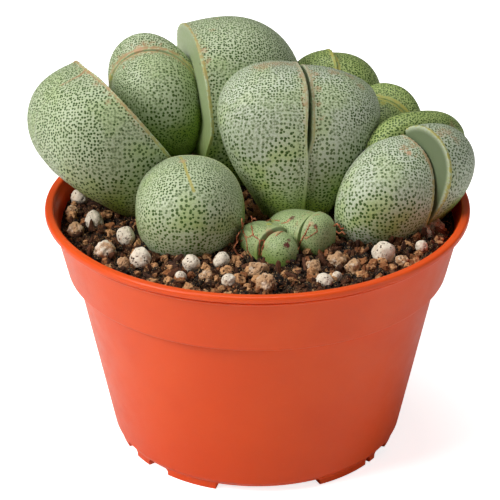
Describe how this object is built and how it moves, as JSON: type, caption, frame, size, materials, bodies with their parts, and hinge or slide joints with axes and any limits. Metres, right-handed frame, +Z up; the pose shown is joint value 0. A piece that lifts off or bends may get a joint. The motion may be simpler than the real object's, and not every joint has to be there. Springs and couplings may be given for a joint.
{
  "type": "potted split rock",
  "caption": "Clump of thick, stone-like succulent leaf pairs in gritty soil, standing in a plastic nursery pot with a collar and a notched foot.",
  "frame": {"origin": "middle of the whole part's box, at the height of the surface that the pot stands on", "axes": "+Z up along the pot's axis, -Y towards the front of the plant, +X to its right"},
  "size_m": [0.145, 0.14, 0.1349],
  "materials": {
    "pot_plastic": "orange moulded nursery plastic, satin",
    "soil_mix": "dark peat with pumice, grit and bark bits",
    "leaf_skin": "waxy grey-green succulent skin with dark green dots"
  },
  "bodies": {
    "root": {"pot": "pot_plastic", "soil": "soil_mix", "heart_left_leaf": "leaf_skin", "heart_right_leaf": "leaf_skin", "egg_front_leaf": "leaf_skin", "egg_back_leaf": "leaf_skin", "right_front_leaf": "leaf_skin", "right_back_leaf": "leaf_skin", "bud_left_leaf": "leaf_skin", "bud_right_leaf": "leaf_skin", "sprout_left_leaf": "leaf_skin", "sprout_right_leaf": "leaf_skin", "old_left_leaf": "leaf_skin", "old_right_leaf": "leaf_skin", "young_front_leaf": "leaf_skin", "young_back_leaf": "leaf_skin", "right_outer_leaf": "leaf_skin", "rear_left_leaf": "leaf_skin", "rear_right_leaf": "leaf_skin", "corner_front_leaf": "leaf_skin", "corner_back_leaf": "leaf_skin"}
  },
  "joints": []
}
